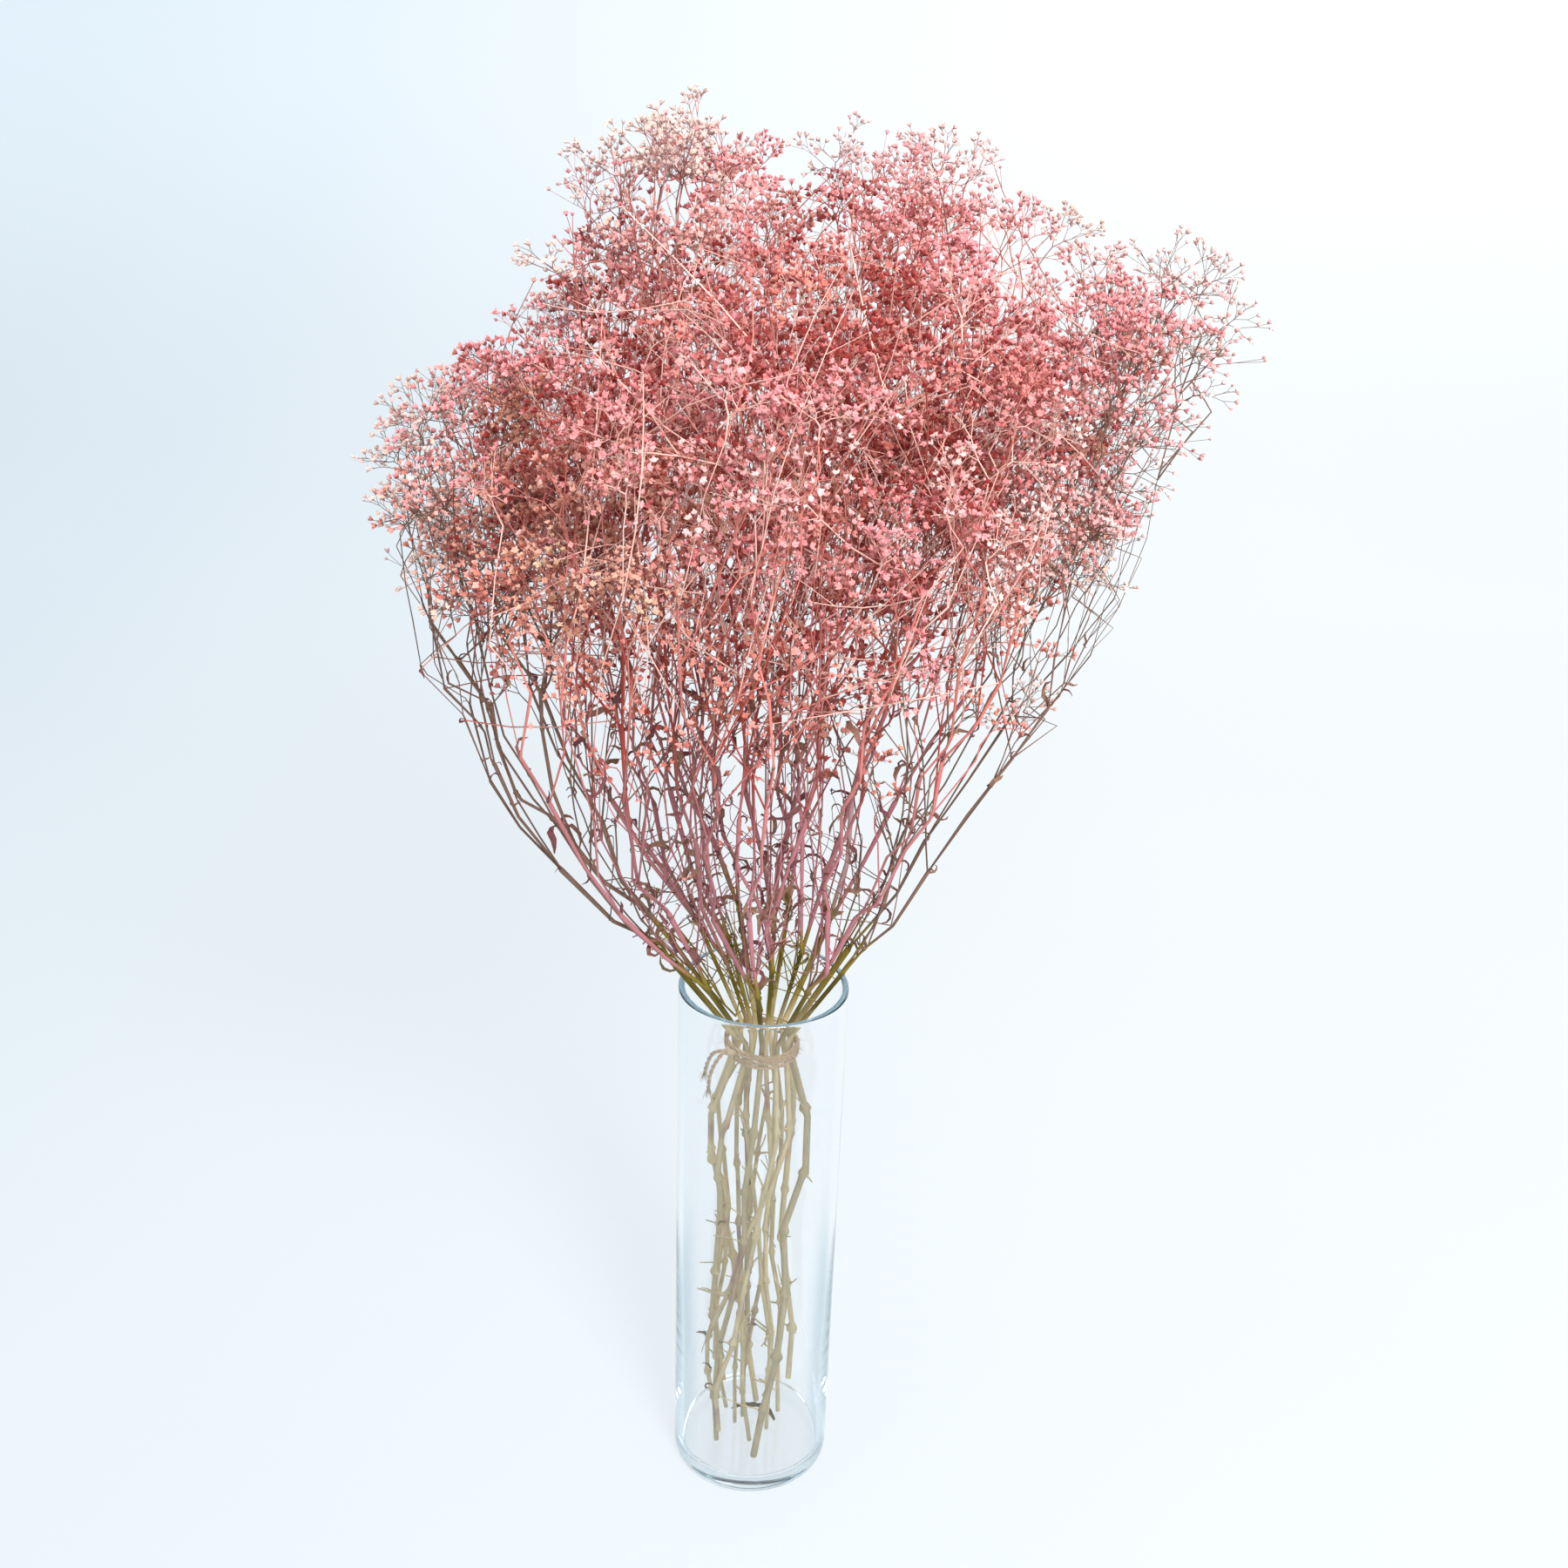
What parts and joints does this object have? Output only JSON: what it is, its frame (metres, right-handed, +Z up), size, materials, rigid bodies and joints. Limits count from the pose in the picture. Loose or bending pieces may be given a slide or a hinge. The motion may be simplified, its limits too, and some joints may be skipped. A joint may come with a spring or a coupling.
{
  "type": "dried gypsophila in vase",
  "caption": "Tall clear glass cylinder vase holding a twine-tied bunch of dried, dyed gypsophila whose forking twigs end in small star-shaped florets.",
  "frame": {"origin": "middle of the underside of the vase, on the surface it stands on", "axes": "+Z up along the vase's axis, +X to the right of the arrangement as it is seen, +Y to its back"},
  "size_m": [0.3565, 0.2903, 0.6605],
  "materials": {
    "clear_glass": "clear, fire-polished",
    "jute_twine": "twisted natural fibre",
    "dried_spray": "dried and dyed dusty pink, matt",
    "dried_leaf": "dry and shrivelled, matt"
  },
  "bodies": {
    "root": {"vase": "clear_glass", "twine": "jute_twine", "spray_01": "dried_spray", "spray_02": "dried_spray", "spray_03": "dried_spray", "spray_04": "dried_spray", "spray_05": "dried_spray", "spray_06": "dried_spray", "spray_07": "dried_spray", "spray_08": "dried_spray", "spray_09": "dried_spray", "spray_10": "dried_spray", "spray_11": "dried_spray", "spray_12": "dried_spray", "spray_13": "dried_spray", "spray_14": "dried_spray", "spray_15": "dried_spray", "spray_16": "dried_spray", "fallen_leaf": "dried_leaf"}
  },
  "joints": []
}
